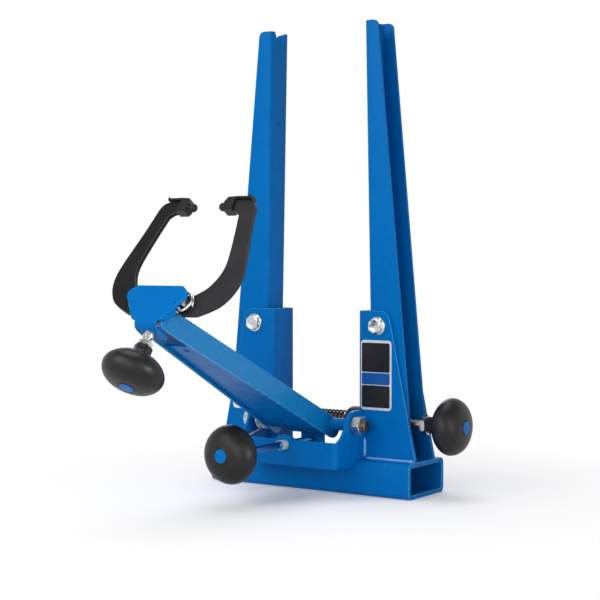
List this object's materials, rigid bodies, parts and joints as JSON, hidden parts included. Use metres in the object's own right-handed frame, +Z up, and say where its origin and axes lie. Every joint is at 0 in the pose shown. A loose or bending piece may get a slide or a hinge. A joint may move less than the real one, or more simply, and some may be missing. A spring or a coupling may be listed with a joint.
{
  "type": "bicycle wheel truing stand",
  "caption": "Bench stand that holds a bicycle wheel by its axle between two uprights, with a sprung arm and calliper legs for gauging the rim as it is trued.",
  "frame": {"origin": "middle of the base tube's bottom face", "axes": "+X along the wheel's axle towards the spread knob, +Y to the back, away from the calliper arm, +Z up"},
  "size_m": [0.3067, 0.3868, 0.5085],
  "materials": {
    "blue_paint": "glossy blue powder coat on steel, slightly orange-peeled",
    "black_paint": "satin black coat on steel",
    "black_plastic": "moulded black plastic with a soft sheen",
    "bright_steel": "zinc-plated steel, bright",
    "rod_steel": "plain threaded steel rod, lightly oiled",
    "spring_steel": "plated spring wire",
    "badge_blue": "smooth blue plastic disc, bare",
    "label_vinyl": "vinyl label with a silver border and bare black and blue panels"
  },
  "bodies": {
    "frame": {"base_tube": "blue_paint", "bracket_right": "blue_paint", "bracket_left": "blue_paint", "front_bracket": "blue_paint", "arm_screw_bushing": "bright_steel", "upright_bolt_right": "bright_steel", "upright_bolt_left": "bright_steel", "upright_nut_right": "bright_steel", "upright_nut_left": "bright_steel", "arm_pivot_bolt": "bright_steel", "arm_pivot_nut": "bright_steel", "arm_pivot_washer_right": "bright_steel", "arm_pivot_washer_left": "bright_steel", "label_right": "label_vinyl", "label_left": "label_vinyl", "spread_spring": "black_paint", "arm_spring": "spring_steel"},
    "upright_right_body": {"upright_right": "blue_paint"},
    "upright_left_body": {"upright_left": "blue_paint"},
    "spread_carrier_right": {"spring_cap_right": "black_plastic", "spread_nut_right": "rod_steel"},
    "spread_carrier_left": {"spring_cap_left": "black_plastic", "spread_nut_left": "rod_steel"},
    "spread_screw": {"spread_rod": "rod_steel", "spread_jam_nut": "bright_steel", "spread_knob": "black_plastic", "spread_badge": "badge_blue"},
    "arm_body": {"arm_side_right": "blue_paint", "arm_side_left": "blue_paint", "arm_web": "blue_paint", "arm_pivot_tube": "blue_paint", "calliper_plate": "blue_paint", "calliper_bushing": "bright_steel", "leg_pin_right": "bright_steel", "leg_pin_left": "bright_steel", "leg_spring_right": "spring_steel", "leg_spring_left": "spring_steel"},
    "arm_thrust": {"arm_screw_tip": "rod_steel"},
    "arm_screw": {"arm_screw_rod": "rod_steel", "arm_screw_knob": "black_plastic", "arm_screw_badge": "badge_blue"},
    "leg_right_body": {"leg_right": "black_paint", "pad_right": "black_plastic"},
    "leg_left_body": {"leg_left": "black_paint", "pad_left": "black_plastic"},
    "calliper_thrust": {"calliper_slider": "bright_steel"},
    "calliper_screw": {"calliper_screw_rod": "rod_steel", "calliper_jam_nut": "bright_steel", "calliper_knob": "black_plastic", "calliper_badge": "badge_blue"}
  },
  "joints": [
    {"name": "spread_turn", "type": "hinge", "parent": "frame", "child": "spread_screw", "pos_m": [0, 0.002, 0.0757], "axis": [1, 0, 0], "range_deg": [-1620, 1620], "deforming": ["spread_spring"]},
    {"name": "upright_right_tilt", "type": "hinge", "parent": "frame", "child": "upright_right_body", "pos_m": [0.0809, 0.002, 0.1808], "axis": [0, 1, 0], "range_deg": [-4.3, 4.3]},
    {"name": "upright_left_tilt", "type": "hinge", "parent": "frame", "child": "upright_left_body", "pos_m": [-0.0809, 0.002, 0.1808], "axis": [0, -1, 0], "range_deg": [-4.3, 4.3]},
    {"name": "spread_slide_right", "type": "slide", "parent": "frame", "child": "spread_carrier_right", "axis": [1, 0, 0], "range_m": [-0.0079, 0.0079]},
    {"name": "spread_slide_left", "type": "slide", "parent": "frame", "child": "spread_carrier_left", "axis": [-1, 0, 0], "range_m": [-0.0079, 0.0079]},
    {"name": "arm_tilt", "type": "hinge", "parent": "frame", "child": "arm_body", "pos_m": [0, -0.041, 0.0752], "axis": [1, 0, 0], "range_deg": [-20, 9], "deforming": ["arm_spring"]},
    {"name": "arm_screw_feed", "type": "slide", "parent": "frame", "child": "arm_thrust", "axis": [0, 1, 0], "range_m": [-0.0073, 0.00328]},
    {"name": "arm_screw_turn", "type": "hinge", "parent": "arm_thrust", "child": "arm_screw", "pos_m": [0, -0.0293, 0.0542], "axis": [0, 1, 0], "range_deg": [-2105, 945]},
    {"name": "leg_right_swing", "type": "hinge", "parent": "arm_body", "child": "leg_right_body", "pos_m": [0.027, -0.27762, 0.20891], "axis": [0, 0.8221, -0.5693], "range_deg": [-7, 9.5], "deforming": ["leg_spring_right"]},
    {"name": "leg_left_swing", "type": "hinge", "parent": "arm_body", "child": "leg_left_body", "pos_m": [-0.027, -0.27762, 0.20891], "axis": [0, -0.8221, 0.5693], "range_deg": [-7, 9.5], "deforming": ["leg_spring_left"]},
    {"name": "calliper_feed", "type": "slide", "parent": "arm_body", "child": "calliper_thrust", "axis": [0, 0.5693, 0.8221], "range_m": [-0.0023, 0.0031]},
    {"name": "calliper_turn", "type": "hinge", "parent": "calliper_thrust", "child": "calliper_screw", "pos_m": [0, -0.29662, 0.18498], "axis": [0, 0.5693, 0.8221], "range_deg": [-665, 900]}
  ],
  "couplings": [
    {"joint": "upright_right_tilt", "follows": "spread_turn", "ratio": 0.0026501},
    {"joint": "upright_left_tilt", "follows": "spread_turn", "ratio": 0.0026501},
    {"joint": "spread_slide_right", "follows": "spread_turn", "m_per_rad": -0.00027852},
    {"joint": "spread_slide_left", "follows": "spread_turn", "m_per_rad": -0.00027852},
    {"joint": "arm_screw_turn", "follows": "arm_screw_feed", "rad_per_m": 5026.5},
    {"joint": "arm_tilt", "follows": "arm_screw_feed", "rad_per_m": 47.619},
    {"joint": "calliper_turn", "follows": "calliper_feed", "rad_per_m": 5026.5},
    {"joint": "leg_right_swing", "follows": "calliper_feed", "rad_per_m": 52.631},
    {"joint": "leg_left_swing", "follows": "calliper_feed", "rad_per_m": 52.631}
  ]
}
